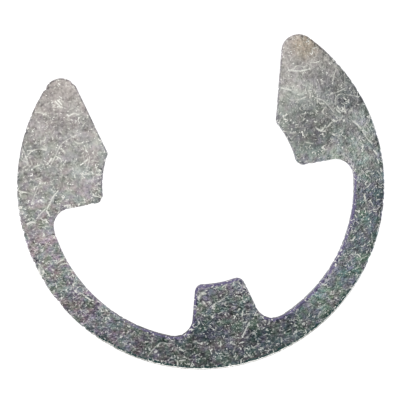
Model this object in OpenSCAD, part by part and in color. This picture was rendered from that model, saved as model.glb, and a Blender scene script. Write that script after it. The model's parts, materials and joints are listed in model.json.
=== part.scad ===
// E-type retaining ring, blanked from flat spring steel and zinc plated.
// It lies flat on its lower face. The origin is on the shaft's axis, at that face.
// +Z runs up through the sheet, and the mouth opens towards +Y.

/* [Ring] */
// Diameter that the three lugs seat on, at the bottom of the shaft's groove
seat_d = 12; // [10:0.1:15]
// Thickness of the sheet
sheet_t = 1.3; // [0.8:0.1:2]
// Depth of the pockets between the lugs, from the seat out to the band
lug_depth = 3.34; // [2.4:0.02:4.4]
// Width of the band outside the pockets
band_w = 1.86; // [1.3:0.02:2.6]
// Radius where a lug runs into the band
root_r = 1.1; // [0.7:0.05:1.4]

/* [Mouth] */
// How much narrower than the seat the mouth is, which the ring springs open by
snap = 1.6; // [1:0.1:2.4]
// Angle of each prong's lead-in edge from the direction of the push
lead_in_angle = 15; // [8:1:22]
// Radius of the round tip of each prong
tip_r = 1.05; // [0.7:0.05:1.3]

/* [Lugs] */
// Distance from the shaft's axis to the square lower side of each prong's lug
side_lug_drop = 0.13; // [0:0.01:0.6]
// Width of the middle lug at its seat
middle_lug_w = 2.95; // [2.2:0.05:3.6]
// Angle by which each side of the middle lug widens towards the band
middle_lug_flare = 15; // [5:1:20]
// Radius of each lug's corner at its seat
lug_corner_r = 0.5; // [0.3:0.05:0.7]

/* [Edge] */
// Radius that the punch draws down along the upper edge
edge_r = 0.12; // [0.05:0.01:0.2]

/* [Hidden] */
seat_r = seat_d / 2;
band_r = seat_r + lug_depth;
outer_r = band_r + band_w;
// How far a cutter runs past the surface that it cuts
past = 1;
// Each round is made this much larger than it is, so that it crosses what it blends into and leaves no sliver
crossing = 0.001;
// Chords on the drawn edge: the longest along a wall, and how many go round its section
chord = 0.7;
section_chords = 3;
$fn = 180;

// A direction from its angle, and the angle of a point about the shaft
function ray(a) = [cos(a), sin(a)];
function angle_of(p) = atan2(p.y, p.x);
// The point where a line from p along the unit vector u meets the circle of radius r about the shaft
function meet(p, u, r) = p + u * (sqrt((p * u) * (p * u) - p * p + r * r) - p * u);

// Lead-in edge of the right prong: its lower corner, its direction, and the side that the steel is on
mouth_half = seat_r - snap / 2;
mouth_corner = [mouth_half, sqrt(seat_r * seat_r - mouth_half * mouth_half)];
lead_in = ray(90 - lead_in_angle);
lead_in_side = ray(-lead_in_angle);
tip = meet(mouth_corner + tip_r * lead_in_side, lead_in, outer_r - tip_r);

// Lower side of the right prong's lug, with its seat corner and its root
side_corner_y = side_lug_drop + lug_corner_r;
side_corner = meet([0, side_corner_y], [1, 0], seat_r + lug_corner_r);
side_root = meet([0, side_lug_drop - root_r], [1, 0], band_r - root_r);

// Right side of the middle lug: a point on it, its direction away from the shaft, and its open side
flank_foot = [middle_lug_w / 2, -seat_r];
flank = ray(middle_lug_flare - 90);
flank_side = ray(middle_lug_flare);
middle_corner = meet(flank_foot - lug_corner_r * flank_side, flank, seat_r + lug_corner_r);
middle_root = meet(flank_foot + root_r * flank_side, flank, band_r - root_r);

// What is left of a corner outside a round of radius r about c, between the angles from and to
module outside_round(c, r, from, to) {
    middle = (from + to) / 2;
    reach = r / cos((to - from) / 2) + past / 2;
    translate(c) difference() {
        polygon([[0, 0], reach * ray(from), reach * 1.4 * ray(middle), reach * ray(to)]);
        circle(r + crossing);
    }
}

// The space between the side lug and the middle lug, out to the band
module pocket() {
    difference() {
        intersection() {
            circle(band_r);
            polygon([
                [0, side_lug_drop],
                [outer_r, side_lug_drop],
                [outer_r, -outer_r],
                flank_foot + outer_r * flank,
                flank_foot - past * flank
            ]);
        }
        outside_round(side_root, root_r, angle_of(side_root), 90);
        outside_round(middle_root, root_r, 180 + middle_lug_flare, 360 + angle_of(middle_root));
    }
}

// Everything that the punch takes out on the right of the mirror line
module right_cuts() {
    pocket();
    outside_round(side_corner, lug_corner_r, 180 + angle_of(side_corner), 270);
    outside_round(middle_corner, lug_corner_r, middle_lug_flare, 180 + angle_of(middle_corner));
    outside_round(tip, tip_r, angle_of(tip), 180 - lead_in_angle);
}

module mouth() {
    low = mouth_corner - seat_r / 2 * lead_in;
    high = mouth_corner + outer_r * lead_in;
    polygon([[low.x, low.y], [high.x, high.y], [-high.x, high.y], [-low.x, low.y]]);
}

module outline() {
    difference() {
        circle(outer_r);
        circle(seat_r);
        mouth();
        right_cuts();
        mirror([1, 0]) right_cuts();
    }
}

// Points along a wall's arc about c, set back into the steel. The wall's own arc gives their number, so it
// is the same for any set_back, and starts at wall_from where that isn't the angle from.
function arc(c, wall_r, set_back, from, to, wall_from = undef) =
    let (turn = abs(to - (is_undef(wall_from) ? from : wall_from)))
    let (n = ceil(max(turn / 15, turn / 180 * PI * wall_r / chord)))
    [for (i = [0 : n]) c + (wall_r + set_back) * ray(from + (to - from) * i / n)];

// Where the lead-in edge meets the seat, with both of them set back into the steel
function mouth_corner_at(inset) = meet(mouth_corner + inset * lead_in_side, lead_in, seat_r + inset);

// The right half of the outline from the bottom, set back into the steel by the inset
function right_path(inset) = concat(
    arc([0, 0], outer_r, -inset, -90, angle_of(tip)),
    arc(tip, tip_r, -inset, angle_of(tip), 180 - lead_in_angle),
    arc(
        [0, 0], seat_r, inset,
        angle_of(mouth_corner_at(inset)), angle_of(side_corner), angle_of(mouth_corner)
    ),
    arc(side_corner, lug_corner_r, -inset, 180 + angle_of(side_corner), 270),
    arc(side_root, root_r, inset, 90, angle_of(side_root)),
    arc([0, 0], band_r, inset, angle_of(side_root), angle_of(middle_root)),
    arc(middle_root, root_r, inset, 360 + angle_of(middle_root), 180 + middle_lug_flare),
    arc(middle_corner, lug_corner_r, -inset, middle_lug_flare, 180 + angle_of(middle_corner)),
    arc([0, 0], seat_r, inset, angle_of(middle_corner), -90)
);

// The whole outline: the right half, and its mirror image without the two points on the mirror line
function whole_path(inset) =
    let (right = right_path(inset))
    concat(right, [for (i = [len(right) - 2 : -1 : 1]) [-right[i].x, right[i].y]]);

// Section of the drawn edge, as inset from the wall and height above the upper face. Its first and last
// chords run on past the face and the wall, and it closes outside the steel.
drawn_arc = [
    for (i = [0 : section_chords])
        let (a = 90 * i / section_chords)
        edge_r * [1 - sin(a), cos(a) - 1]
];
drawn_start = 2 * drawn_arc[0] - drawn_arc[1];
drawn_end = 2 * drawn_arc[section_chords] - drawn_arc[section_chords - 1];
drawn_section = concat(
    [drawn_start],
    [for (i = [1 : section_chords - 1]) drawn_arc[i]],
    [drawn_end, [-edge_r, drawn_end.y], [-edge_r, drawn_start.y]]
);

// What the punch draws down from the upper edge, all the way round
module drawn_edge() {
    loops = [for (q = drawn_section) [for (p = whole_path(q.x)) [p.x, p.y, sheet_t + q.y]]];
    n = len(loops[0]);
    m = len(loops);
    polyhedron(
        points = [for (loop = loops) each loop],
        faces = [
            for (j = [0 : m - 1])
                let (here = j * n, next = (j + 1) % m * n)
                for (i = [0 : n - 1])
                    let (k = (i + 1) % n)
                    [here + i, next + i, next + k, here + k]
        ]
    );
}

module retaining_ring() {
    color("#8b8d8c")
        difference() {
            linear_extrude(sheet_t) outline();
            drawn_edge();
        }
}

retaining_ring();
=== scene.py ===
# %% [markdown]
# # An E-type retaining ring on a white ground
# The ring is one flat piece of spring steel. A press punches it out of strip, a drum tumbles it with
# thousands of others, and a thin coat of zinc keeps the rust off. So it has one smooth face with a soft
# upper edge, a wall with a bright band and a torn band, and a skin of short curved scratches.
#
# It could be modelled from nothing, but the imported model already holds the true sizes. So this script
# loads it as a fixed frame, and dresses the ring over it.

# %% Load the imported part
import json
import math

import bmesh
import bpy
import numpy as np
from mathutils import Matrix, Vector
from mathutils.geometry import delaunay_2d_cdt


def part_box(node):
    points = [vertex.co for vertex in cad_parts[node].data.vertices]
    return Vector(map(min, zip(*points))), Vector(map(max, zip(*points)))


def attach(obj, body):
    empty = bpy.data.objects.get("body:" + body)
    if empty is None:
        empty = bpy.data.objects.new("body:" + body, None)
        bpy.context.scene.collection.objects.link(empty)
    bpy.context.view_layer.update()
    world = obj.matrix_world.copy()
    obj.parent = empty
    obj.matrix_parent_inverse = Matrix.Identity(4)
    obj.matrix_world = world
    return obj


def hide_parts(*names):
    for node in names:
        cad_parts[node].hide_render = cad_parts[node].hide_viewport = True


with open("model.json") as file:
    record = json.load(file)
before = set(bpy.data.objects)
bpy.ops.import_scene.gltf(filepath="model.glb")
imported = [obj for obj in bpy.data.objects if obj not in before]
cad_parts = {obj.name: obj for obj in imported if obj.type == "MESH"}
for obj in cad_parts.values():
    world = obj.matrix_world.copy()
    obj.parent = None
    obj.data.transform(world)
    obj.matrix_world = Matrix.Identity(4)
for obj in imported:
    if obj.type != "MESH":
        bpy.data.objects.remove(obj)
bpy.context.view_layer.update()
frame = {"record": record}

MM = 0.001
NODE = "retaining_ring"
low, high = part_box(NODE)
print("CAD box in mm:", [round(x / MM, 3) for x in (*low, *high)])

# %% [markdown]
# ## The driving sizes
# A few sizes drive a ring of this kind. They could all be typed in, but here the outer radius and the sheet
# come from the model's box, and the seat's radius from its mount, so the ring can't drift away from the
# solid. The others are in millimetres.

# %% Sizes in millimetres
OUTER_R = high.x / MM
SHEET = high.z / MM
SEAT_R = next(m["dims"]["r_mm"] for m in frame["record"]["mounts"] if m["name"] == "shaft_seat")
BAND_W = 1.86
BAND_R = OUTER_R - BAND_W
ROOT_R = 1.1
# How much narrower than the seat the mouth is, and the lean and the round tip of its prongs
SNAP = 1.6
LEAD_IN_ANGLE = 15
TIP_R = 1.05
# The lugs on the sides and in the middle
SIDE_LUG_DROP = 0.13
MIDDLE_LUG_W = 2.95
MIDDLE_LUG_FLARE = 15
LUG_CORNER_R = 0.5
# The round that the punch draws down along the upper edge
DRAWN_R = 0.12
print("outer radius", round(OUTER_R, 3), "seat radius", SEAT_R, "sheet", round(SHEET, 3))

# %% [markdown]
# ## The outline
# From above the ring is arcs and short straight edges. Traced by hand, the arcs would wobble. But each one
# just touches what it joins, so its centre is at a known distance from the shaft's axis and on a line beside
# a straight edge. One small function finds them all: it walks along that line until it meets a circle.


# %% Directions, angles, and where a line meets a circle
def ray(degrees):
    """A unit vector at this angle, anticlockwise from the ring's right."""
    return Vector((math.cos(math.radians(degrees)), math.sin(math.radians(degrees))))


def angle_of(p):
    return math.degrees(math.atan2(p.y, p.x))


def meet(p, along, radius):
    """The point on the line from p along a unit vector that is at this radius from the shaft's axis."""
    near = p.dot(along)
    return p + along * (math.sqrt(near * near - p.dot(p) + radius * radius) - near)


print("above the seat's right end, the ring ends at", meet(ray(0) * SEAT_R, ray(90), OUTER_R))

# %% The centres of the rounds on the right half
AXIS = Vector((0, 0))
mouth_half = SEAT_R - SNAP / 2
mouth_corner = Vector((mouth_half, math.sqrt(SEAT_R**2 - mouth_half**2)))
lead_in_side = ray(-LEAD_IN_ANGLE)
tip = meet(mouth_corner + lead_in_side * TIP_R, ray(90 - LEAD_IN_ANGLE), OUTER_R - TIP_R)
side_corner = meet(Vector((0, SIDE_LUG_DROP + LUG_CORNER_R)), ray(0), SEAT_R + LUG_CORNER_R)
side_root = meet(Vector((0, SIDE_LUG_DROP - ROOT_R)), ray(0), BAND_R - ROOT_R)
flank_foot = Vector((MIDDLE_LUG_W / 2, -SEAT_R))
flank_side = ray(MIDDLE_LUG_FLARE)
flank = ray(MIDDLE_LUG_FLARE - 90)
middle_corner = meet(flank_foot - flank_side * LUG_CORNER_R, flank, SEAT_R + LUG_CORNER_R)
middle_root = meet(flank_foot + flank_side * ROOT_R, flank, BAND_R - ROOT_R)
print("mouth:", round(2 * mouth_half, 2), "mm; the right prong's tip is round about", tip)


# %% The outline, from the bottom up the right half to the middle lug, and back down the left
def arc(centre, radius, start, end, spacing=0.05):
    steps = max(3, math.ceil(abs(end - start) / 180 * math.pi * radius / spacing))
    return [centre + ray(start + (end - start) * i / steps) * radius for i in range(steps + 1)]


right_half = [
    *arc(AXIS, OUTER_R, -90, angle_of(tip)),
    *arc(tip, TIP_R, angle_of(tip), 180 - LEAD_IN_ANGLE),
    *arc(AXIS, SEAT_R, angle_of(mouth_corner), angle_of(side_corner)),
    *arc(side_corner, LUG_CORNER_R, 180 + angle_of(side_corner), 270),
    *arc(side_root, ROOT_R, 90, angle_of(side_root)),
    *arc(AXIS, BAND_R, angle_of(side_root), angle_of(middle_root)),
    *arc(middle_root, ROOT_R, 360 + angle_of(middle_root), 180 + MIDDLE_LUG_FLARE),
    *arc(middle_corner, LUG_CORNER_R, MIDDLE_LUG_FLARE, 180 + angle_of(middle_corner)),
    *arc(AXIS, SEAT_R, angle_of(middle_corner), -90),
]
left_half = [Vector((-p.x, p.y)) for p in reversed(right_half[1:-1])]
outline = right_half + left_half
print("outline points:", len(outline))

# %% [markdown]
# ## From a place in the photo to a place on the ring
# The photo looks down on the ring, with the mouth turned a little to the left. Marks could be placed by
# guessing at millimetres, but they are easier to read off the photo. The centre and the radius of its outer
# circle in pixels, and the turn, make any pixel a place on the sheet. The marks and the camera use that.

# %% The photo's frame
FRAME_PX = 400
CIRCLE_PX = (200.77, 185.96)
CIRCLE_R_PX = 183.3
TURN = 10.52
PX = OUTER_R / CIRCLE_R_PX
# The picture's own right and up, as directions on the ring
right = ray(-TURN)
up = ray(90 - TURN)


def from_photo(x, y):
    """The place on the ring, in mm, that is seen at this pixel of the photo."""
    return right * (x - CIRCLE_PX[0]) * PX + up * (CIRCLE_PX[1] - y) * PX


print("one pixel is", round(PX, 4), "mm; the photo's middle is at", from_photo(200, 200))

# %% [markdown]
# ## The wall that the punch leaves
# A punch first draws the sheet down into a soft edge, then shears a bright, smooth band, and at last the
# steel tears and leaves a duller band that leans inwards, with a trace of burr at the bottom. The outline
# could be extruded and bevelled, but a bevel gives only the soft edge. The section is the same all the way
# round, so the wall is a sweep: a Geometry Nodes tree carries that section along the outline.

# %% The section of the wall, as depth into the steel and height above the floor
DRAWN_STEPS = 6
BAND_STEPS = 4
# The bright band ends at this share of the sheet
LAND_SHARE = 0.45
TEAR_DEPTH = 0.03
BURR_R = 0.04
drawn = [
    (DRAWN_R * (1 - math.sin(a)), SHEET - DRAWN_R * (1 - math.cos(a)))
    for a in (math.pi / 2 * i / DRAWN_STEPS for i in range(DRAWN_STEPS + 1))
]
land_top = SHEET - DRAWN_R
land_bottom = SHEET * LAND_SHARE
down = range(1, BAND_STEPS + 1)
land = [(0, land_top - (land_top - land_bottom) * i / BAND_STEPS) for i in down]
tear = [(TEAR_DEPTH * i / BAND_STEPS, land_bottom - (land_bottom - BURR_R) * i / BAND_STEPS) for i in down]
section = [*drawn, *land, *tear, (TEAR_DEPTH + BURR_R, 0)]
print("section points:", len(section), "bright band:", round(land_top - land_bottom, 2), "mm")


# %% Both lines as curves
def put_in_scene(name, data):
    """A new object with this data, at the origin."""
    obj = bpy.data.objects.new(name, data)
    bpy.context.scene.collection.objects.link(obj)
    return obj


def poly_curve(name, points, closed):
    data = bpy.data.curves.new(name, "CURVE")
    data.dimensions = "3D"
    spline = data.splines.new("POLY")
    spline.points.add(len(points) - 1)
    for target, point in zip(spline.points, points):
        target.co = (*point, 0, 1)
    spline.use_cyclic_u = closed
    return put_in_scene(name, data)


outline_curve = poly_curve("outline", outline, True)
# A section in a sweep has X away from the steel and Y downwards, so both signs are turned
section_curve = poly_curve("section", [(-depth, SHEET - height) for depth, height in section], False)
print("curves:", outline_curve.name, "and", section_curve.name)


# %% A node tree with named inputs
def add(tree, kind, inputs=None, **settings):
    """A new node with its settings, and its inputs given by name or number as a value or a socket."""
    made = tree.nodes.new(kind)
    for name, value in settings.items():
        setattr(made, name, value)
    for key, value in (inputs or {}).items():
        if isinstance(value, bpy.types.NodeSocket):
            tree.links.new(value, made.inputs[key])
        else:
            made.inputs[key].default_value = value
    return made


def geometry_tree(name, numbers):
    """A Geometry Nodes tree with named number inputs. Gives the tree, its input node and its output."""
    tree = bpy.data.node_groups.new(name, "GeometryNodeTree")
    tree.interface.new_socket("Geometry", in_out="INPUT", socket_type="NodeSocketGeometry")
    for key, value in numbers.items():
        kind = "NodeSocketInt" if isinstance(value, int) else "NodeSocketFloat"
        tree.interface.new_socket(key, in_out="INPUT", socket_type=kind).default_value = value
    tree.interface.new_socket("Geometry", in_out="OUTPUT", socket_type="NodeSocketGeometry")
    return tree, add(tree, "NodeGroupInput"), add(tree, "NodeGroupOutput")


WALL_SIZES = {"Spacing": 0.08}
sweep, given, result = geometry_tree("punched wall", WALL_SIZES)
print("inputs of the sweep:", [s.name for s in given.outputs if s.name])

# %% The sweep
zinc = bpy.data.materials.new("zinc plate")


def coat(tree, geometry, result):
    """Ends a tree: what comes in is made real, and gets the zinc."""
    real = add(tree, "GeometryNodeRealizeInstances", {0: geometry})
    coated = add(tree, "GeometryNodeSetMaterial", {0: real.outputs[0], "Material": zinc})
    tree.links.new(coated.outputs[0], result.inputs[0])


upright = add(sweep, "GeometryNodeSetCurveNormal", {0: given.outputs["Geometry"]}, mode="Z_UP")
spaced = {"Curve": upright.outputs[0], "Length": given.outputs["Spacing"]}
even = add(sweep, "GeometryNodeResampleCurve", spaced, mode="LENGTH")
profile = add(sweep, "GeometryNodeObjectInfo", {"Object": section_curve})
swept = {"Curve": even.outputs[0], "Profile Curve": profile.outputs["Geometry"]}
wall = add(sweep, "GeometryNodeCurveToMesh", swept)
coat(sweep, wall.outputs[0], result)
print("nodes in the sweep:", len(sweep.nodes))


# %% The wall's points as a grid: one column after the other, each from the drawn edge down
def flatten(obj, tree, numbers):
    """Runs a tree on an object, and gives what comes out as a plain mesh."""
    modifier = obj.modifiers.new(tree.name, "NODES")
    modifier.node_group = tree
    for item in tree.interface.items_tree:
        if item.in_out == "INPUT" and item.name in numbers:
            modifier[item.identifier] = numbers[item.name]
    ready = obj.evaluated_get(bpy.context.evaluated_depsgraph_get())
    mesh = bpy.data.meshes.new_from_object(ready)
    obj.modifiers.remove(modifier)
    return mesh


ROWS = len(section)
wall_mesh = flatten(outline_curve, sweep, WALL_SIZES)
wall_points = np.empty(len(wall_mesh.vertices) * 3)
wall_mesh.vertices.foreach_get("co", wall_points)
wall_points = wall_points.reshape(-1, ROWS, 3) + (0, 0, SHEET)
COLUMNS = len(wall_points)
upper_rim = wall_points[:, 0, :2]
lower_rim = wall_points[:, -1, :2]
print("wall:", COLUMNS, "columns of", ROWS, "points")
print("wall spans in mm:", wall_points.min((0, 1)).round(3), wall_points.max((0, 1)).round(3))

# %% [markdown]
# ## The two faces
# Both sides of the sheet are flat. One large face has no points inside it that a dent could move, and the
# cells of a square grid don't fit the curved rim. So a honeycomb of points fills the inside, and a Delaunay
# triangulation joins it to the wall's own rim, which keeps the triangles even and the rim exact.


# %% Inside or outside, and how far away
def inside(points, rim):
    """Which points lie inside a closed rim, by counting the edges that each one passes."""
    x, y = points[:, None, 0], points[:, None, 1]
    ax, ay = rim[None, :, 0], rim[None, :, 1]
    bx, by = np.roll(ax, -1), np.roll(ay, -1)
    crosses = (ay > y) != (by > y)
    at = ax + (y - ay) * (bx - ax) / np.where(by == ay, 1, by - ay)
    return (crosses & (x < at)).sum(1) % 2 == 1


def distance_to(points, others, batch=400):
    """How far each point is from the nearest of the others."""
    near = []
    for i in range(0, len(points), batch):
        apart = points[i : i + batch, None] - others[None]
        near.append(np.hypot(apart[..., 0], apart[..., 1]).min(1))
    return np.concatenate(near)


shaft_axis = np.zeros((1, 2))
print("the shaft's axis is in the steel:", inside(shaft_axis, upper_rim)[0])
print("nearest steel to it:", distance_to(shaft_axis, upper_rim).round(3)[0], "mm")

# %% Fill a rim, the lower one first
# The gap that the honeycomb leaves at a rim and at a scratch, as a share of its pitch
RIM_GAP = 0.7
SCRATCH_GAP = 0.45
LOWER_PITCH = 0.25
INSIDE_ONLY = 1
TOLERANCE = 1e-7


def honeycomb(rim, pitch):
    low_x, low_y = rim.min(0)
    high_x, high_y = rim.max(0)
    rows = []
    for j, y in enumerate(np.arange(low_y, high_y, pitch * math.sqrt(3) / 2)):
        x = np.arange(low_x + (j % 2) * pitch / 2, high_x, pitch)
        rows.append(np.stack([x, np.full_like(x, y)], 1))
    points = np.concatenate(rows)
    points = points[inside(points, rim)]
    return points[distance_to(points, rim) > pitch * RIM_GAP]


def fill(rim, pitch, extra=np.empty((0, 2))):
    """Points and triangles of a face. The rim's own points come first, and then the extra ones."""
    mesh = honeycomb(rim, pitch)
    if len(extra):
        mesh = mesh[distance_to(mesh, extra) > pitch * SCRATCH_GAP]
    points = np.concatenate([rim, extra, mesh])
    edges = [(i, (i + 1) % len(rim)) for i in range(len(rim))]
    made = delaunay_2d_cdt([Vector(p) for p in points], edges, [], INSIDE_ONLY, TOLERANCE)
    source = [ids[0] for ids in made[3]]
    triangles = [tuple(source[i] for i in face) for face in made[2]]
    return points, triangles


lower, lower_triangles = fill(lower_rim, LOWER_PITCH)
print("lower face:", len(lower_triangles), "triangles")

# %% [markdown]
# ## The scratches that this ring has
# Most of the skin's lines are alike, and the finish draws them at random. A few stand out, and make this
# ring the one in the photo. Each is a groove that a corner of another ring has drawn. A bump would only
# shade it, so three rows of points follow it, and later the middle row goes down and takes a chalky finish.
# The places are read off the photo, in pixels, from end to end.

# %% Scratches, as a strength and places in the photo
SCRATCHES = {
    # On the left prong
    "first of two dashes": (1.0, (56, 101.5), (60, 105.5)),
    "second of two dashes": (1.0, (58.5, 100.5), (62, 104.5)),
    "from the outer edge": (0.7, (33, 112), (40, 112.5), (46, 114.5)),
    "under the dashes": (0.55, (69, 116), (74, 113.5), (79, 114.5)),
    "long curve": (0.55, (76, 135), (66, 140.5), (61, 145), (55.5, 156), (51, 165)),
    "chevron's long side": (1.0, (48, 163), (51.5, 159)),
    "chevron's short side": (1.0, (48, 163), (50.5, 165.5)),
    "down from the edge": (0.6, (22, 145), (26, 156), (30, 166)),
    "beside it": (0.35, (25, 146), (29, 155), (32.5, 163)),
    "long bow": (0.5, (42.5, 176), (37, 190), (32, 202)),
    "hook": (0.75, (58.5, 190), (53, 197), (49, 205), (41, 213), (37, 218)),
    "hook's end": (0.75, (49, 205), (47.5, 209)),
    "short one": (1.0, (47, 210), (49.5, 215)),
    # On the right prong
    "first at the tip": (0.8, (289, 70.5), (299, 71), (309, 69)),
    "second": (0.8, (281, 88), (290, 90)),
    "third": (0.6, (290, 100), (298, 99.5), (305, 97)),
    "long diagonal": (0.45, (313, 97), (323.5, 101.5), (333, 112)),
    "loop": (0.5, (335, 106), (334.5, 100), (337, 95), (343, 94), (349, 95)),
    "loop's tail": (0.5, (331.5, 93.5), (338, 91.5), (345, 88)),
    "bright spot": (1.0, (339.5, 110.5), (342.5, 111.5)),
    "beside the spot": (1.0, (336, 109.5), (339.5, 112.5)),
    "over the spot": (1.0, (341.5, 107.5), (344.5, 112)),
    "dot": (1.0, (332.5, 134), (334.2, 135)),
    "start of the diagonal": (1.0, (312.5, 96.5), (315, 98)),
    "fleck on the diagonal": (1.0, (336.5, 106), (338, 108.5)),
    "end of the diagonal": (1.0, (352, 121), (355.5, 123.5), (359.5, 128)),
    "over the loop": (0.6, (344, 95), (352, 95.5), (360, 98)),
    "bow": (0.8, (315, 127), (318.5, 130), (323.5, 131)),
    "second bow": (0.6, (322, 127.5), (327, 126.5), (330, 123)),
    "trail to the ring": (0.8, (362, 131), (366, 138), (371, 143)),
    "trail's fleck": (1.0, (373, 150), (376, 154)),
    "trail's end": (1.0, (376.5, 159), (378, 163)),
    "end at the edge": (1.0, (380, 168), (381.5, 173)),
    "spot by the ring": (0.9, (365.5, 171), (369.5, 170.5)),
    "at the lug's corner": (0.7, (299, 163), (306, 161.5)),
    "at the outer edge": (0.7, (376, 170), (380, 175), (383, 183)),
    # On the band, where no other place is named
    "M's first half": (0.6, (151, 351), (153, 348.5), (157, 345), (160.6, 342), (167, 343)),
    "M's second half": (0.5, (167, 343), (172, 343), (175, 347), (180, 354)),
    "straight and bright": (1.0, (248.5, 323), (242, 336)),
    "middle lug, nick at its top": (1.0, (234.8, 277.5), (233.4, 284)),
    "middle lug, nick's other side": (1.0, (236.4, 278), (235, 283.5)),
    "middle lug, on its left": (0.6, (219, 301), (224, 297.5)),
    "middle lug, in the middle": (0.5, (207, 309), (212, 305), (215, 302.5)),
    "by the lug's right root": (0.9, (262, 314.5), (264, 317.5)),
    "arc at the inner edge": (0.9, (282.5, 314), (285.5, 315), (288.6, 313.6)),
    "chip at the outer edge": (1.0, (179.5, 360), (184, 359.5)),
    "left prong, white spot": (1.0, (102, 170), (98, 170.5)),
    "left prong, below it": (0.9, (96.5, 174), (100, 174.5)),
    "left prong, small bow": (0.8, (82.5, 172.5), (85, 174), (88.5, 173)),
    "left prong, fleck": (0.9, (85, 161.5), (87.5, 159.5)),
    "left recess, chip": (1.0, (64.5, 205.5), (70, 204.5)),
    "left recess, below it": (1.0, (64.5, 207.5), (69, 206.5)),
    "streak below the left lug": (1.0, (28, 223), (31, 221.5), (35, 222)),
    "bow beside it": (0.9, (41.5, 218), (43.5, 219.5), (46.5, 219)),
    "middle lug, fleck": (1.0, (203, 301), (204.5, 303)),
    "flecks right of the middle": (1.0, (293, 333.5), (295.5, 331.5)),
    "another of them": (0.9, (294, 324), (296, 325)),
    "and another": (0.9, (257, 324), (258, 326)),
    "streak in the bottom": (0.8, (195, 340.5), (198.5, 342.5), (202, 343)),
    "arch in the bottom": (0.5, (224, 345), (228, 342.5), (232, 343), (236, 344.5)),
    "end of the arch": (0.5, (236, 344.5), (233, 351)),
}
print("scratches:", len(SCRATCHES))

# %% Three rows of points along each scratch
SCRATCH_SPACING = 0.07
SCRATCH_HALF_WIDTH = 0.08
# The faintest scratch has this share of the full width
FAINT_WIDTH = 0.5


def curve_through(points, spacing):
    """Evenly spaced points on a smooth curve through these (a Catmull-Rom spline)."""
    ends = [points[0] * 2 - points[1], *points, points[-1] * 2 - points[-2]]
    smooth = []
    for a, b, c, d in zip(ends, ends[1:], ends[2:], ends[3:]):
        steps = max(1, round((c - b).length / spacing))
        for t in (i / steps for i in range(steps)):
            bend = 2 * a - 5 * b + 4 * c - d
            twist = 3 * b - a - 3 * c + d
            smooth.append((2 * b + (c - a) * t + bend * t**2 + twist * t**3) / 2)
    return [*smooth, points[-1]]


groove, beside, strengths = [], [], []
for strength, *places in SCRATCHES.values():
    line = curve_through([from_photo(*q) for q in places], SCRATCH_SPACING)
    width = FAINT_WIDTH + (1 - FAINT_WIDTH) * strength
    for i, point in enumerate(line):
        forward = line[min(i + 1, len(line) - 1)] - line[max(i - 1, 0)]
        across = forward.orthogonal().normalized() * SCRATCH_HALF_WIDTH * width
        groove.append(point)
        strengths.append(strength)
        beside += [point - across, point + across]
print("groove points:", len(groove))

# %% Fill the upper face, round the scratches
UPPER_PITCH = 0.13
RIM_CLEARANCE = 0.03
near_groove = np.array(groove + beside)
groove_strength = np.array(strengths + [0] * len(beside))
safe = inside(near_groove, upper_rim) & (distance_to(near_groove, upper_rim) > RIM_CLEARANCE)
near_groove = near_groove[safe]
groove_strength = groove_strength[safe]
upper, upper_triangles = fill(upper_rim, UPPER_PITCH, near_groove)
print("upper face:", len(upper_triangles), "triangles")

# %% [markdown]
# ## The ring as one mesh
# The real ring is one closed skin. The wall and the faces could be joined and then merged by distance,
# which might also pull fine points together. They share their rim points instead: each corner of a face
# gets its number in the wall's grid or behind it, so the skin closes with no doubles.

# %% All points, and their numbers
wall_flat = wall_points.reshape(-1, 3)
upper_inside = upper[COLUMNS:]
lower_inside = lower[COLUMNS:]
upper_first = len(wall_flat)
lower_first = upper_first + len(upper_inside)
points = np.concatenate([
    wall_flat,
    np.column_stack([upper_inside, np.full(len(upper_inside), SHEET)]),
    np.column_stack([lower_inside, np.zeros(len(lower_inside))]),
])


def numbered(triangle, row, first):
    """The triangle's corners as numbers in the whole mesh, for a rim in this row of the wall."""
    return [i * ROWS + row if i < COLUMNS else first + i - COLUMNS for i in triangle]


faces = []
for c in range(COLUMNS):
    here, after = c * ROWS, (c + 1) % COLUMNS * ROWS
    faces += [(here + r, after + r, after + r + 1, here + r + 1) for r in range(ROWS - 1)]
faces += [numbered(t, 0, upper_first) for t in upper_triangles]
faces += [numbered(t, ROWS - 1, lower_first) for t in lower_triangles]
print("points:", len(points), "faces:", len(faces))

# %% The mesh, with its faces turned outwards
ring_mesh = bpy.data.meshes.new("ring")
ring_mesh.from_pydata(points * MM, [], faces)
shaped = bmesh.new()
shaped.from_mesh(ring_mesh)
bmesh.ops.recalc_face_normals(shaped, faces=shaped.faces)
print("ring volume in mm3:", round(shaped.calc_volume(signed=True) / MM**3, 2))
print("open edges:", sum(not e.is_manifold for e in shaped.edges))
shaped.to_mesh(ring_mesh)
shaped.free()

# %% [markdown]
# ## Six numbers at each point
# The skin isn't the same all over: the drawn edge is nicked and the torn band is dull. The inner edges that
# face the picture's upper left get a painted dark violet shade, and the lower outer edge a painted
# highlight, both placed by which way the edge faces. Painted masks could say where, but attributes can be
# worked out from the shape, and both the wear and the finish can read them. They are "drawn" and "torn" for
# the bands, "wall" for how ragged the wall is, two for the painted violet shade and the painted highlight,
# and "mark" for the scratches.

# %% How far down the wall
RIM_FADE = 0.12
row = np.arange(ROWS)


def on_wall(by_column, by_row):
    """A number for each point: its column's times its row's on the wall, and 0 elsewhere."""
    values = np.zeros(len(points))
    values[:upper_first] = np.outer(by_column, by_row).ravel()
    return values


all_round = np.ones(COLUMNS)
drawn_share = on_wall(all_round, row <= DRAWN_STEPS)
near_rim = distance_to(upper_inside, upper_rim)
drawn_share[upper_first:lower_first] = np.clip(1 - near_rim / RIM_FADE, 0, 1)
torn_share = on_wall(all_round, np.maximum(0, row + 1 - len(drawn) - len(land)) / (len(tear) + 1))
print("points on the drawn edge:", int((drawn_share > 0).sum()), "and torn:", int((torn_share > 0).sum()))

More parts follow.
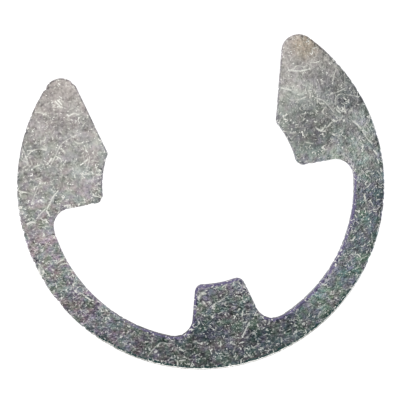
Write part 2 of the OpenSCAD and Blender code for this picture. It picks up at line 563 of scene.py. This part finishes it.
# %% Which way the rim faces
PROBE = 0.05
OUTER_EDGE_BAND = 0.4
rim_ahead = np.roll(upper_rim, -1, axis=0) - np.roll(upper_rim, 1, axis=0)
facing = np.column_stack([rim_ahead[:, 1], -rim_ahead[:, 0]])
facing /= np.linalg.norm(facing, axis=1)[:, None]
facing[inside(upper_rim + facing * PROBE, upper_rim)] *= -1
outer_edge = np.hypot(upper_rim[:, 0], upper_rim[:, 1]) > OUTER_R - OUTER_EDGE_BAND


def facing_to(azimuth):
    """How squarely each point of the rim faces this way in the picture: 1 when it does."""
    return facing @ np.array(ray(azimuth - TURN))


print("outer edge's share of the rim:", outer_edge.mean().round(3))

# %% The painted violet shade, the painted edge highlight and the ragged wall
VIOLET_WAY = 125
VIOLET_GAIN = 1.3
# The painted violet shade fades out on the way up to the side lugs
VIOLET_END = 3
VIOLET_FADE = 2
# The outer edge that faces this way gets a painted highlight
HIGHLIGHT_WAY = -80
HIGHLIGHT_FROM = 0.55
HIGHLIGHT_GAIN = 4
RAGGED_OUTER = 1.35
RAGGED_INNER = 0.8
# Facing this way, the outer edge is less ragged by up to this much
EVEN_WAY = 30
EVEN_GAIN = 2
EVEN_SHARE = 0.6
BELOW_THE_EDGE = 0.4

along_mouth = upper_rim @ np.array(up)
not_too_high = np.clip((VIOLET_END - along_mouth) / VIOLET_FADE, 0, 1)
# Painted shade: inner edges that face this way get a dark violet colour, a painted reflection of the dim
# ground they face
painted_shade_side = np.clip(facing_to(VIOLET_WAY) * VIOLET_GAIN, 0, 1) * ~outer_edge * not_too_high
# Painted highlight: a pale colour on the outer edge that faces down, for the bright light it mirrors there
painted_highlight_side = np.clip((facing_to(HIGHLIGHT_WAY) - HIGHLIGHT_FROM) * HIGHLIGHT_GAIN, 0, 1) * outer_edge
ragged_side = np.where(outer_edge, RAGGED_OUTER, RAGGED_INNER) - painted_highlight_side
ragged_side -= EVEN_SHARE * np.clip(facing_to(EVEN_WAY) * EVEN_GAIN, 0, 1) * outer_edge
down_the_wall = np.where(row <= DRAWN_STEPS, 1.0, BELOW_THE_EDGE)
print("raggedness runs from", ragged_side.min().round(2), "to", ragged_side.max().round(2))

# %% Store the six numbers
mark_share = np.zeros(len(points))
mark_share[upper_first : upper_first + len(groove_strength)] = groove_strength
SHARES = {
    "wall": on_wall(ragged_side, np.ones(ROWS)),
    "drawn": drawn_share,
    "torn": torn_share,
    "mark": mark_share,
    "painted_violet_shade": on_wall(painted_shade_side, down_the_wall),
    "bright": on_wall(painted_highlight_side, down_the_wall),
}
for name, values in SHARES.items():
    attribute = ring_mesh.attributes.new(name, "FLOAT", "POINT")
    attribute.data.foreach_set("value", values.astype(np.float32))
    print(name, "on average:", values.mean().round(3))
blank = put_in_scene("blank", ring_mesh)

# %% [markdown]
# ## Wear from the tumbling drum
# In the drum the rings knock against each other. That leaves small dents, most of all on the drawn edge,
# and bites in the wall. They could be sculpted one by one. But they are the same small event many times
# over, so a Geometry Nodes tree scatters them at random, and pushes each point in by how near it is to one.
# Everything moves inwards, so the ring stays inside its true size.

# %% Sizes of the wear, and the tree
WEAR = {
    "Ripple depth": 0.004 * MM,
    "Ripple size": 0.9 * MM,
    "Ragged depth": 0.065 * MM,
    "Ragged size": 0.22 * MM,
    "Dents per mm2": 0.5,
    "Dent depth": 0.012 * MM,
    "Dent size": 0.24 * MM,
    "Nicks per mm2": 1.6,
    "Nick depth": 0.035 * MM,
    "Nick size": 0.15 * MM,
    "Scratch depth": 0.018 * MM,
    "Seed": 7,
}
wear, worn_in, worn_out = geometry_tree("tumbled skin", WEAR)
blank_skin = worn_in.outputs["Geometry"]
place = add(wear, "GeometryNodeInputPosition").outputs[0]


def size_of(name):
    return worn_in.outputs[name]


def read(name):
    return add(wear, "GeometryNodeInputNamedAttribute", {"Name": name}, data_type="FLOAT").outputs[0]


print("sizes that drive the wear:", len(WEAR))


# %% Ripples
def tree_of(values):
    """The node tree of the first socket among these values."""
    return next(v for v in values if isinstance(v, bpy.types.NodeSocket)).id_data


def maths(operation, *values):
    return add(tree_of(values), "ShaderNodeMath", dict(enumerate(values)), operation=operation).outputs[0]


def product(a, b):
    return maths("MULTIPLY", a, b)


def noise(where, scale, detail=2.0, roughness=0.5, distortion=0.0):
    """A soft random pattern, from about 0.3 to 0.7."""
    sizes = {"Scale": scale, "Detail": detail, "Roughness": roughness, "Distortion": distortion}
    return add(where.id_data, "ShaderNodeTexNoise", {"Vector": where, **sizes}).outputs[0]


waves = noise(place, maths("DIVIDE", 1.0, size_of("Ripple size")))
ripple = product(waves, size_of("Ripple depth"))
print("ripples:", round(WEAR["Ripple depth"] / MM, 3), "mm deep at most")

# %% The ragged wall, and the scratches
BITE_START = 0.5
BITE_FULL = 0.66
BITE_STRETCH = 6.0


def vectors(operation, *values, gives="Vector"):
    made = add(tree_of(values), "ShaderNodeVectorMath", dict(enumerate(values)), operation=operation)
    return made.outputs[gives]


def ramp(value, start, end, low=0.0, high=1.0):
    """Goes smoothly from low to high while the value goes from start to end."""
    ends = {"Value": value, "From Min": start, "From Max": end, "To Min": low, "To Max": high}
    return add(value.id_data, "ShaderNodeMapRange", ends, interpolation_type="SMOOTHSTEP").outputs[0]


# A bite runs down the wall, so its pattern is stretched in height
stretched = vectors("MULTIPLY", place, (1, 1, 1 / BITE_STRETCH))
bites = ramp(noise(stretched, maths("DIVIDE", 1.0, size_of("Ragged size"))), BITE_START, BITE_FULL)
ragged = product(product(bites, size_of("Ragged depth")), read("wall"))
scratched = product(read("mark"), size_of("Scratch depth"))
print("ragged wall: up to", round(WEAR["Ragged depth"] / MM * RAGGED_OUTER, 3), "mm deep")

# %% Dents and nicks
WEAKEST_KNOCK = 0.35


def knocks(kind, where, seed_step):
    """How deep scattered round knocks reach at each point, on the skin where this share is set."""
    seed = maths("ADD", size_of("Seed"), seed_step)
    density = product(product(size_of(kind + "s per mm2"), 1 / MM**2), where)
    thrown = {"Mesh": blank_skin, "Density": density, "Seed": seed}
    scatter = add(wear, "GeometryNodeDistributePointsOnFaces", thrown, distribute_method="RANDOM")
    hits = scatter.outputs["Points"]
    nearest = add(wear, "GeometryNodeSampleNearest", {"Geometry": hits}, domain="POINT").outputs[0]
    picked = {"Geometry": hits, "Value": place, "Index": nearest}
    hit_place = add(wear, "GeometryNodeSampleIndex", picked, data_type="FLOAT_VECTOR")
    chance = {"ID": nearest, "Seed": seed, 2: WEAKEST_KNOCK, 3: 1.0}
    strength = add(wear, "FunctionNodeRandomValue", chance, data_type="FLOAT").outputs[1]
    away = vectors("DISTANCE", place, hit_place.outputs[0], gives="Value")
    bowl = ramp(away, product(size_of(kind + " size"), strength), 0.0)
    return product(bowl, product(size_of(kind + " depth"), strength))


dents = knocks("Dent", 1.0, 1.0)
nicks = knocks("Nick", read("drawn"), 2.0)
print("nodes in the wear tree:", len(wear.nodes))

# %% The worn ring
total = maths("ADD", maths("ADD", ripple, ragged), maths("ADD", maths("ADD", dents, nicks), scratched))
normal = add(wear, "GeometryNodeInputNormal").outputs[0]
push = {0: normal, "Scale": product(total, -1.0)}
inwards = add(wear, "ShaderNodeVectorMath", push, operation="SCALE").outputs[0]
moved = add(wear, "GeometryNodeSetPosition", {0: blank_skin, "Offset": inwards})
coat(wear, moved.outputs[0], worn_out)

ring = put_in_scene("steel_ring", flatten(blank, wear, WEAR))
ring.data.shade_smooth()
for helper in (blank, outline_curve, section_curve):
    bpy.data.objects.remove(helper)
triangles = sum(len(f.vertices) - 2 for f in ring.data.polygons)
print("worn ring:", len(ring.data.vertices), "points,", triangles, "triangles")

# %% [markdown]
# ## Short strokes
# Handling writes short strokes on the plate that curve a little. A picture of scratches could be wrapped
# round the ring, but it would stretch and repeat. A node group draws one stroke for each cell of a Voronoi
# pattern instead, turned, bent and weighted by the cell's own random numbers. In the cell's own frame, a
# stroke is what lies near the long axis and not far from the middle.

# %% A node group with named inputs
STROKE_INPUTS = {"Cells per mm": 1.0, "Half width": 0.03, "Half length": 0.5, "Bend": 1.0, "Share": 0.5}
strokes = bpy.data.node_groups.new("short strokes", "ShaderNodeTree")
strokes.interface.new_socket("Place in mm", in_out="INPUT", socket_type="NodeSocketVector")
for name, value in STROKE_INPUTS.items():
    strokes.interface.new_socket(name, in_out="INPUT", socket_type="NodeSocketFloat").default_value = value
strokes.interface.new_socket("Mask", in_out="OUTPUT", socket_type="NodeSocketFloat")
stroke_in = add(strokes, "NodeGroupInput")
stroke_out = add(strokes, "NodeGroupOutput")
print("inputs of a stroke layer:", [s.name for s in stroke_in.outputs if s.name])

# %% Each cell's own frame and random numbers
stroke_place = stroke_in.outputs["Place in mm"]
looked_up = {"Vector": stroke_place, "Scale": stroke_in.outputs["Cells per mm"]}
cells = add(strokes, "ShaderNodeTexVoronoi", looked_up, voronoi_dimensions="2D", feature="F1")
dice = add(strokes, "ShaderNodeSeparateColor", {0: cells.outputs["Color"]})
turn_dice, bend_dice, weight_dice = dice.outputs[:3]
from_middle = vectors("SUBTRACT", stroke_place, cells.outputs["Position"])
turning = {"Vector": from_middle, "Angle": product(turn_dice, 2 * math.pi)}
turned = add(strokes, "ShaderNodeVectorRotate", turning, rotation_type="Z_AXIS")
lengthwise, crosswise = add(strokes, "ShaderNodeSeparateXYZ", {0: turned.outputs[0]}).outputs[:2]
print("random numbers for each stroke:", len(dice.outputs))

# %% The stroke
WEIGHT_POWER = 2.2
LEAST_WIDTH = 0.45
END_FADE = 0.6
bow = product(maths("SUBTRACT", bend_dice, 0.5), stroke_in.outputs["Bend"])
sagged = maths("ADD", crosswise, product(bow, maths("POWER", lengthwise, 2.0)))
# Only this share of the cells has a stroke, and few of those are strong
weight = maths("SUBTRACT", 1.0, maths("DIVIDE", weight_dice, stroke_in.outputs["Share"]))
weight = maths("POWER", maths("MAXIMUM", weight, 0.0), WEIGHT_POWER)
half_width = product(stroke_in.outputs["Half width"], maths("ADD", weight, LEAST_WIDTH))
half_length = stroke_in.outputs["Half length"]
thin = ramp(maths("ABSOLUTE", sagged), half_width, 0.0)
short = ramp(maths("ABSOLUTE", lengthwise), half_length, product(half_length, END_FADE))
stroke = product(product(thin, short), weight)
strokes.links.new(stroke, stroke_out.inputs["Mask"])
print("nodes in the stroke group:", len(strokes.nodes))

# %% [markdown]
# ## All the lines on the zinc
# Five layers of strokes go from a few long ones to many flecks, each with its pattern shifted, so that no
# two match. Hairlines lie where a soft noise passes its middle value, and one more noise adds soft flecks.
# All could be of one strength, but the real ones come in drifts and get weaker towards the prongs' tips, so
# two ramps weigh them. The scratches in the mesh join them last.

# %% The material, and places on the ring in millimetres
zinc.use_nodes = True
skin = zinc.node_tree
skin.nodes.clear()
shader = add(skin, "ShaderNodeBsdfPrincipled")
add(skin, "ShaderNodeOutputMaterial", {"Surface": shader.outputs[0]})
on_ring = add(skin, "ShaderNodeTexCoord").outputs["Object"]
in_mm = add(skin, "ShaderNodeMapping", {"Vector": on_ring, "Scale": (1 / MM,) * 3}).outputs[0]
along_x, along_y = add(skin, "ShaderNodeSeparateXYZ", {0: in_mm}).outputs[:2]


def shifted(dx, dy):
    """Another part of a pattern, by looking it up this far away."""
    return vectors("ADD", in_mm, (dx, dy, 0))


def stored(name):
    return add(skin, "ShaderNodeAttribute", attribute_name=name, attribute_type="GEOMETRY").outputs["Fac"]


print("material:", zinc.name, "on", ring.name)

# %% Strokes and hairlines
# Shift, cells per mm, half width and half length in mm, bend, and share of the cells
STROKE_LAYERS = {
    "long": (3.1, 0.8, 0.06, 0.5, 1.2, 0.45),
    "curved": (17.3, 1.3, 0.06, 0.3, 2.5, 0.5),
    "short": (29.7, 2.1, 0.055, 0.19, 4.0, 0.65),
    "hooked": (41.9, 3.2, 0.045, 0.13, 6.0, 0.6),
    "flecks": (57.7, 4.8, 0.04, 0.085, 9.0, 0.5),
}


def stroke_layer(shift, *sizes):
    inputs = {0: shifted(shift, -shift), **dict(enumerate(sizes, start=1))}
    return add(skin, "ShaderNodeGroup", inputs, node_tree=strokes).outputs[0]


def hairlines(shift, per_mm, half_width, shown):
    """Long wandering lines. The second noise breaks them up."""
    away = maths("ABSOLUTE", maths("SUBTRACT", noise(shifted(shift, 0), per_mm, 1.0), 0.5))
    gap = ramp(noise(shifted(0, shift), per_mm * 1.5, 1.0), shown, shown + 0.05)
    return product(ramp(away, half_width * per_mm, 0.0), gap)


line_layers = [stroke_layer(*sizes) for sizes in STROKE_LAYERS.values()]
line_layers += [hairlines(23.5, 0.6, 0.03, 0.57), ramp(noise(shifted(71, 29), 7.0, 1.0), 0.57, 0.8)]
strokes_here = line_layers[0]
for layer in line_layers[1:]:
    strokes_here = maths("MAXIMUM", strokes_here, layer)
print("layers of lines:", len(line_layers))

# %% Drifts, and the scratches in the mesh
drifts = ramp(noise(shifted(61, 7), 1.6, 1.0), 0.35, 0.65, 0.3, 1.15)
wear_here = ramp(along_y, -5.0, 9.0, 1.15, 0.65)
pressed = stored("mark")
# A faint scratch is broken up by a noise, and a strong one stays whole
broken = ramp(noise(shifted(91, 13), 3.5, 1.0), 0.38, 0.62)
mark = product(pressed, maths("MAXIMUM", broken, pressed))
lines = maths("MAXIMUM", product(strokes_here, product(drifts, wear_here)), mark)
print("nodes so far:", len(skin.nodes))

# %% [markdown]
# ## Grain, specks and tints
# Between its lines the zinc is grey, with a grain of all sizes, small chalky specks, and a thin film that
# turns from green to violet and from olive to blue. One noise with much detail could give the grain, but
# its sizes couldn't be weighed one by one, so five noises are added up. Painted light goes over the film: it
# turns from rosy on the left to sea green on the right, warm where the key light falls and cool in the
# shade, and towards the mouth it fades to plain grey, where the key light's sheen washes it out, with
# brighter, warmer tips as a painted highlight.

# %% Grain and specks
# Grains per mm, and how strong each size is
GRAIN = ((9.0, 1.15), (4.5, 1.05), (2.2, 0.95), (1.0, 0.75), (0.45, 0.6))
swings = 0.0
for i, (per_mm, strength) in enumerate(GRAIN):
    swing = maths("SUBTRACT", noise(shifted(13 * i, 7 * i), per_mm, 0.0), 0.5)
    swings = maths("MULTIPLY_ADD", swing, strength, swings)
brightness = maths("MULTIPLY_ADD", swings, ramp(along_y, -5.0, 7.0, 0.82, 0.68), 1.0)
speckle = noise(shifted(7, 3), 4.5, 1.0, distortion=1.5)
# The drawn edge and the worn lower part have somewhat more specks
speckle = maths("MULTIPLY_ADD", stored("drawn"), 0.03, speckle)
specks = ramp(maths("MULTIPLY_ADD", wear_here, 0.07, speckle), 0.71, 0.77)
print("sizes of grain:", len(GRAIN))

# %% Tints
GREEN, VIOLET = (0.80, 1.07, 0.96, 1), (1.05, 0.92, 1.13, 1)
OLIVE, BLUE = (1.05, 1.01, 0.88, 1), (0.95, 0.99, 1.10, 1)
# Painted light: rosy where the warm key light falls on the left, sea green towards the cool shade on the
# right
PAINTED_WARM_LIGHT, PAINTED_COOL_SHADE = (1.12, 1.0, 1.05, 1), (0.925, 1.0, 1.05, 1)
# The second brightens and warms the tips: a painted highlight of the key light
PLAIN, PAINTED_WARM_HIGHLIGHT = (1.0, 1.0, 0.99, 1), (1.24, 1.13, 1.13, 1)


def blend(factor, a, b, way="MIX"):
    """Colour a where the factor is 0 and colour b where it is 1."""
    inputs = {"Factor": factor, 6: a, 7: b}
    made = add(tree_of(inputs.values()), "ShaderNodeMix", inputs, data_type="RGBA", blend_type=way)
    return made.outputs[2]


def times(a, b):
    return blend(1.0, a, b, "MULTIPLY")


film_and_painted_light = times(
    blend(ramp(noise(shifted(31, 17), 2.0, 1.0), 0.3, 0.7), GREEN, VIOLET),
    blend(ramp(noise(shifted(51, 37), 1.7, 1.0), 0.3, 0.7), OLIVE, BLUE),
)
# Painted light across the ring: warm on the left, cool on the right
film_and_painted_light = times(film_and_painted_light, blend(ramp(along_x, -9.0, 9.0), PAINTED_WARM_LIGHT, PAINTED_COOL_SHADE))
# Towards the mouth the film fades to plain grey and the tips get brighter and warmer: painted key light
towards_mouth = ramp(along_y, -5.0, 4.0, 0.0, 0.72)
tint = blend(ramp(along_y, 3.0, 9.0), blend(towards_mouth, film_and_painted_light, PLAIN), PAINTED_WARM_HIGHLIGHT)
print("nodes with the tints:", len(skin.nodes))

# %% [markdown]
# ## Paler and duller patches
# Some places on the plate are paler, some are dull, one tip has a warm stain, and one patch on the lower
# outer edge is a painted highlight. A wide noise could do that, but not where the photo has them. So each is
# a soft spot with an uneven edge at a named place, which multiplies the tint by its own colour.

# %% Patches, as a place in the photo, a radius in mm and a colour
PATCHES = {
    "warm, at the right prong's tip": (304, 45, 1.0, (1.04, 0.97, 0.84)),
    "pale, beside the second scratch": (289, 87, 1.0, (1.25, 1.25, 1.25)),
    "dull, inside the loop": (347, 100, 0.8, (0.68, 0.7, 0.73)),
    "dull, under the diagonal": (311, 130, 1.7, (0.56, 0.56, 0.56)),
    "paler outer edge of the right prong": (369, 116, 1.0, (1.35, 1.35, 1.35)),
    "paler edge below it": (371, 146, 1.2, (1.4, 1.4, 1.38)),
    "pale trail": (347, 152, 0.9, (1.25, 1.25, 1.2)),
    "dull, where the ring starts": (369, 195, 1.2, (0.76, 0.77, 0.8)),
    "pale, low on the right": (320, 288, 1.5, (1.75, 1.76, 1.62)),
    "pale, above it": (354, 268, 1.2, (1.3, 1.3, 1.3)),
    "dull, right of the middle": (264, 342, 1.4, (0.76, 0.77, 0.8)),
    "pale, low on the left": (92, 332, 1.8, (1.22, 1.2, 1.28)),
    "pale, beside it": (124, 351, 1.3, (1.5, 1.46, 1.55)),
    "pale, under the left recess": (60, 230, 1.3, (1.2, 1.18, 1.2)),
    "dull, at the left lug": (88, 155, 1.1, (0.86, 0.86, 0.86)),
    "dull, at its corner": (103, 190, 1.0, (0.82, 0.82, 0.82)),
    "pale, on the left lead-in": (106, 149, 0.8, (1.25, 1.25, 1.25)),
    "pale, over the left recess": (62, 197, 1.2, (1.18, 1.18, 1.18)),
    "dull, over the loop": (326, 82, 1.0, (0.8, 0.8, 0.82)),
    "dull, under the middle lug": (194, 330, 1.0, (0.74, 0.76, 0.8)),
    "dull, on the middle lug": (216, 286, 1.0, (0.84, 0.84, 0.88)),
    "dull, at its left side": (195, 289, 0.6, (0.74, 0.78, 0.8)),
    "dull, at its left root": (208, 324, 0.7, (0.68, 0.8, 0.83)),
    "dull, on the right lead-in": (288, 137, 0.7, (0.76, 0.75, 0.78)),
    "dull, at the left outer edge": (36, 222, 0.7, (0.78, 0.8, 0.78)),
    "dull, lower on that edge": (40, 269, 0.8, (0.79, 0.78, 0.79)),
    "dull, inside it": (86, 290, 0.8, (0.8, 0.82, 0.85)),
    "pale, at the right prong's edge": (334, 60, 0.7, (1.24, 1.24, 1.25)),
    "pale, under the diagonal": (318, 121, 0.6, (1.28, 1.26, 1.26)),
    "pale, at the right root": (353, 190, 0.6, (1.36, 1.32, 1.26)),
    "pale, on the lower right": (332, 302, 0.7, (1.33, 1.28, 1.18)),
    "pale, beside that one": (314, 328, 0.6, (1.33, 1.28, 1.3)),
    # A painted highlight on the outer edge at the bottom
    "painted highlight on the bottom outer edge": (225, 366, 0.8, (1.5, 1.42, 1.5)),
}
NO_CHANGE = (1, 1, 1, 1)
EDGE_SOFTNESS = 0.6


def spot(x, y, radius):
    """From 0 to 1 towards a place in the photo, with an uneven edge."""
    away = vectors("DISTANCE", in_mm, (*from_photo(x, y), SHEET), gives="Value")
    frayed = maths("MULTIPLY_ADD", noise(shifted(x, y), 1.5, 2.0), EDGE_SOFTNESS, away)
    return ramp(frayed, radius + EDGE_SOFTNESS, radius * 0.3 + EDGE_SOFTNESS / 2)


for x, y, radius, colour in PATCHES.values():
    tint = times(blend(spot(x, y, radius), NO_CHANGE, (*colour, 1)), tint)
print("patches:", len(PATCHES))

# %% [markdown]
# ## The finish of faces, edges and wall
# Over the grey come the pale lines, then the painted violet shade and the painted highlight of the edges,
# then what has gone chalky white, and last the dull torn band. They could be materials of their own, but a
# border between two materials follows whole faces. As layers in one material they fade into each other.
# Chalk isn't metal, so its mask also takes most of the metal away, and the lines are rougher and slightly
# sunk.

# %% The colour
# How much light the bare plate gives back
ZINC = 0.325
PALE_LINE = (0.97, 0.97, 0.93, 1)
# A dark violet painted on the inner edges that face the upper left: painted shade
DARK_VIOLET_SHADE = (0.19, 0.17, 0.295, 1)
# A pale colour painted on the lower outer edge: a painted highlight
PALE_EDGE_HIGHLIGHT = (0.9, 0.9, 0.9, 1)
CHALK = (1.0, 1.0, 0.97, 1)
TORN_STEEL = (0.9, 0.9, 0.92, 1)
level = product(brightness, ZINC)
grey = add(skin, "ShaderNodeCombineColor", {i: level for i in range(3)}).outputs[0]
uneven = maths("MULTIPLY_ADD", noise(shifted(83, 41), 6.0, 1.0), 1.2, -0.6)
# Mask of the painted highlight on the lower outer edge; it also makes that edge smoother
painted_highlight_edge = ramp(maths("ADD", stored("bright"), uneven), 0.3, 0.6)
# Mask of the painted dark violet shade on the inner edges
painted_violet_shade = ramp(maths("ADD", stored("painted_violet_shade"), uneven), 0.1, 0.9)
chalky = maths("MAXIMUM", specks, mark)
torn = ramp(stored("torn"), 0.0, 0.3)
colour = blend(lines, times(grey, tint), PALE_LINE)
colour = blend(painted_highlight_edge, blend(painted_violet_shade, colour, DARK_VIOLET_SHADE), PALE_EDGE_HIGHLIGHT)
colour = blend(torn, blend(chalky, colour, CHALK), times(grey, TORN_STEEL))
skin.links.new(colour, shader.inputs["Base Color"])
print("nodes with the colour:", len(skin.nodes))

# %% Metal, polish and relief
CHALK_LOSS = -0.8
BUMP_HEIGHT = 0.016 * MM
cloudy = noise(shifted(11, 5), 0.9, 3.0, 0.6)
rough = maths("MULTIPLY_ADD", lines, 0.3, ramp(cloudy, 0.3, 0.7, 0.32, 0.44))
# Where the edge highlight is painted, the edge is also smoother
rough = maths("MULTIPLY_ADD", painted_highlight_edge, -0.25, rough)
rough = maths("MULTIPLY_ADD", torn, 0.35, rough)
relief = maths("MULTIPLY_ADD", lines, -0.35, brightness)
bump = add(skin, "ShaderNodeBump", {"Height": relief, "Strength": 1.0, "Distance": BUMP_HEIGHT})
skin.links.new(maths("MULTIPLY_ADD", chalky, CHALK_LOSS, 1.0), shader.inputs["Metallic"])
skin.links.new(rough, shader.inputs["Roughness"])
skin.links.new(bump.outputs[0], shader.inputs["Normal"])

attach(ring, "root")
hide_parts(NODE)
print("nodes in the finished zinc:", len(skin.nodes))

# %% [markdown]
# ## The camera
# In the photo the two prongs are the same size, and the walls that face the upper left just show. A near
# camera straight above would make the prongs lean apart. So a long lens looks from far away, and the camera
# leans to the upper left by a few degrees. Its distance follows from the size of a pixel.

# %% Camera
LENS = 300
SENSOR = 36
LEAN = 2.5
LEAN_TOWARDS = 125
camera_data = bpy.data.cameras.new("camera")
camera_data.lens = LENS
camera_data.sensor_width = SENSOR
camera_data.clip_start = 0.001
camera = put_in_scene("camera", camera_data)
bpy.context.scene.camera = camera
aim = Vector((*from_photo(FRAME_PX / 2, FRAME_PX / 2), SHEET / 2))
distance = FRAME_PX * PX * LENS / SENSOR
sideways = ray(LEAN_TOWARDS - TURN) * math.sin(math.radians(LEAN))
back = Vector((*sideways, math.cos(math.radians(LEAN))))
camera_right = Vector((*up, 0)).cross(back).normalized()
camera_up = back.cross(camera_right)
turned_to_ring = Matrix((camera_right, camera_up, back)).transposed().to_4x4()
camera.matrix_world = Matrix.Translation((aim + back * distance) * MM) @ turned_to_ring
print("camera", round(distance, 1), "mm above the ring")

# %% [markdown]
# ## The white ground
# The photo's ground is pure white with no shadow, as on a light table. A white sheet under lamps would show
# a shadow, so the sheet glows as brightly as the picture can show. That much glow would wash out the ring's
# wall, so only the camera sees it in full. To all else it is darker, most of all towards the bottom of the
# picture.

# %% Floor
FLOOR_REACH = 1.0
PAPER = (0.3, 0.3, 0.3, 1)
PAPER_ROUGHNESS = 0.9
PURE_WHITE = (1, 1, 1, 1)
NEAR_GLOW = (0.16, 0.16, 0.15, 1)
FAR_GLOW = (0.66, 0.63, 0.67, 1)
corners = [(x * FLOOR_REACH, y * FLOOR_REACH, 0) for x, y in ((-1, -1), (1, -1), (1, 1), (-1, 1))]
floor_mesh = bpy.data.meshes.new("floor")
floor_mesh.from_pydata(corners, [], [(0, 1, 2, 3)])
floor = put_in_scene("floor", floor_mesh)
paper = bpy.data.materials.new("white paper")
paper.use_nodes = True
white = paper.node_tree
diffuse = white.nodes["Principled BSDF"]
diffuse.inputs["Base Color"].default_value = PAPER
diffuse.inputs["Roughness"].default_value = PAPER_ROUGHNESS
diffuse.inputs["Emission Strength"].default_value = 1.0
seen_directly = add(white, "ShaderNodeLightPath").outputs["Is Camera Ray"]
floor_place = add(white, "ShaderNodeTexCoord").outputs["Object"]
up_the_picture = vectors("DOT_PRODUCT", floor_place, (*up, 0), gives="Value")
mirrored = blend(ramp(up_the_picture, -10 * MM, -4 * MM), NEAR_GLOW, FAR_GLOW)
white.links.new(blend(seen_directly, mirrored, PURE_WHITE), diffuse.inputs["Emission Color"])
floor_mesh.materials.append(paper)
print("floor:", 2 * FLOOR_REACH, "m wide")

# %% [markdown]
# ## The room that the plate mirrors
# Metal shows little but what is around it. A photographed room could be wrapped round the scene, but a few
# soft zones are enough: bright at the horizon, dark and a little green overhead, which the flat face mirrors
# as its dark tone, and a grey window towards the bottom of the picture.

# %% Room
HORIZON = (0.95, 0.93, 0.97, 1)
CEILING = (0.024, 0.062, 0.062, 1)
WINDOW = (0.62, 0.61, 0.57, 1)
WINDOW_WAY = -82
world = bpy.data.worlds.new("room")
bpy.context.scene.world = world
world.use_nodes = True
sky = world.node_tree
room = sky.nodes["Background"]
outwards = add(sky, "ShaderNodeTexCoord").outputs["Generated"]
height = add(sky, "ShaderNodeSeparateXYZ", {0: outwards}).outputs["Z"]
to_window = vectors("DOT_PRODUCT", outwards, (*ray(WINDOW_WAY - TURN), 0), gives="Value")
walls_to_ceiling = blend(ramp(height, 0.1, 0.6), HORIZON, CEILING)
with_window = blend(ramp(to_window, 0.45, 0.8), walls_to_ceiling, WINDOW)
sky.links.new(with_window, room.inputs["Color"])
room.inputs["Strength"].default_value = 1.0
print("room nodes:", len(sky.nodes))

# %% [markdown]
# ## The lights
# In the photo the ring gets darker from the upper left to the lower right. A sun would light all of it
# alike. A soft panel close above the ring falls off across it as the photo does, and four weaker ones at
# the sides lift the edges and the relief. The camera looks through them.

# %% Panels
KEY_TURN = 6


def panel(name, across, upwards, height, size, colour, watts):
    """A square soft light aimed at the ring, from a place along the picture's right and up, in mm."""
    data = bpy.data.lights.new(name, "AREA")
    data.size = size * MM
    data.color = colour
    data.energy = watts
    light = put_in_scene(name, data)
    light.location = Vector((*(right * across + up * upwards), height)) * MM
    light.rotation_euler = (-light.location).to_track_quat("-Z", "Y").to_euler()
    light.visible_camera = False
    return light


key = panel("key", -8.6, 13.0, 22, 40, (1.0, 0.955, 0.9), 0.0059)
# The key doesn't aim at the ring. It hangs flat over it, turned a little.
key.rotation_euler = (0, 0, math.radians(KEY_TURN - TURN))
panel("pale side", 8, -60, 26, 50, (1.0, 1.0, 1.0), 0.0055)
panel("upper right side", 34, 28, 33, 22, (1.0, 1.0, 1.0), 0.0008)
panel("right side", 62, -32, 24, 40, (1.0, 1.0, 1.0), 0.0035)
panel("left side", -42, -16, 18, 26, (1.0, 0.96, 1.0), 0.003)
bpy.context.scene.view_settings.view_transform = "Standard"
print("panels:", len(bpy.data.lights))
